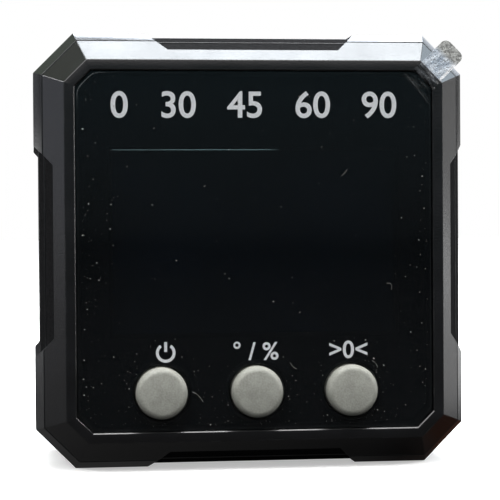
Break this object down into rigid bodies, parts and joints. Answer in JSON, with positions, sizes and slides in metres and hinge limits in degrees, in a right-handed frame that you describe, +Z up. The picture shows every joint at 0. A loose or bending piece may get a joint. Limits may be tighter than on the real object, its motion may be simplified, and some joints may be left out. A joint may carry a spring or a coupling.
{
  "type": "inclinometer",
  "caption": "Square pocket digital angle gauge with a bevelled housing, cut corners, edge pads with recesses, a front window, push buttons and a rear battery cover.",
  "frame": {"origin": "centre of the base, on the plane of the two base pads", "axes": "+Z up, +X to the right as the user reads the display, -Y towards the user, so the window faces -Y"},
  "size_m": [0.054, 0.0292, 0.054],
  "materials": {
    "housing": "fine moulded texture, satin black",
    "window": "dark tinted clear plastic, polished",
    "tape": "black foam tape",
    "film": "clear film with scratches and dust",
    "display": "dark display glass",
    "white_plastic": "white moulded plastic",
    "contact_rubber": "soft rubber with conductive layers",
    "board": "green lacquered laminate",
    "chip": "black moulded package",
    "button": "warm grey, finely textured",
    "plunger": "black moulded plastic",
    "plated_steel": "nickel plated",
    "black_steel": "blackened",
    "cell": "printed sleeve over a steel can",
    "magnet": "nickel plated",
    "red_lead": "red insulation",
    "black_lead": "black insulation"
  },
  "bodies": {
    "housing": {"front_housing": "housing", "rear_housing": "housing", "front_lens": "window", "lens_tape": "tape", "protective_film": "film", "film_pull_tab": "film", "display_panel": "display", "display_carrier": "white_plastic", "backlight_diffuser": "white_plastic", "contact_strip": "contact_rubber", "main_board": "board", "processor_chip": "chip", "tilt_sensor": "chip", "crystal_can": "plated_steel", "switch_body_left": "plated_steel", "switch_body_middle": "plated_steel", "switch_body_right": "plated_steel", "housing_screw_upper_right": "black_steel", "housing_screw_upper_left": "black_steel", "housing_screw_lower_left": "black_steel", "housing_screw_lower_right": "black_steel", "board_screw_upper_right": "plated_steel", "board_screw_upper_left": "plated_steel", "board_screw_lower_left": "plated_steel", "board_screw_lower_right": "plated_steel", "battery_cell_upper": "cell", "battery_cell_lower": "cell", "battery_spring_upper": "plated_steel", "battery_spring_lower": "plated_steel", "contact_positive": "plated_steel", "contact_negative": "plated_steel", "contact_bridge": "plated_steel", "lead_positive": "red_lead", "lead_negative": "black_lead", "base_magnet_left_front": "magnet", "base_magnet_left_rear": "magnet", "base_magnet_right_front": "magnet", "base_magnet_right_rear": "magnet"},
    "left_button": {"button_cap_left": "button", "switch_plunger_left": "plunger"},
    "middle_button": {"button_cap_middle": "button", "switch_plunger_middle": "plunger"},
    "right_button": {"button_cap_right": "button", "switch_plunger_right": "plunger"},
    "cover": {"battery_cover": "housing"}
  },
  "joints": [
    {"name": "left_button_press", "type": "slide", "parent": "housing", "child": "left_button", "axis": [0, 1, 0], "range_m": [0, 0.0005], "stiffness_N_per_m": 2000},
    {"name": "middle_button_press", "type": "slide", "parent": "housing", "child": "middle_button", "axis": [0, 1, 0], "range_m": [0, 0.0005], "stiffness_N_per_m": 2000},
    {"name": "right_button_press", "type": "slide", "parent": "housing", "child": "right_button", "axis": [0, 1, 0], "range_m": [0, 0.0005], "stiffness_N_per_m": 2000},
    {"name": "cover_hinge", "type": "hinge", "parent": "housing", "child": "cover", "pos_m": [0, 0.0146, 0.01485], "axis": [-1, 0, 0], "range_deg": [0, 35]}
  ]
}
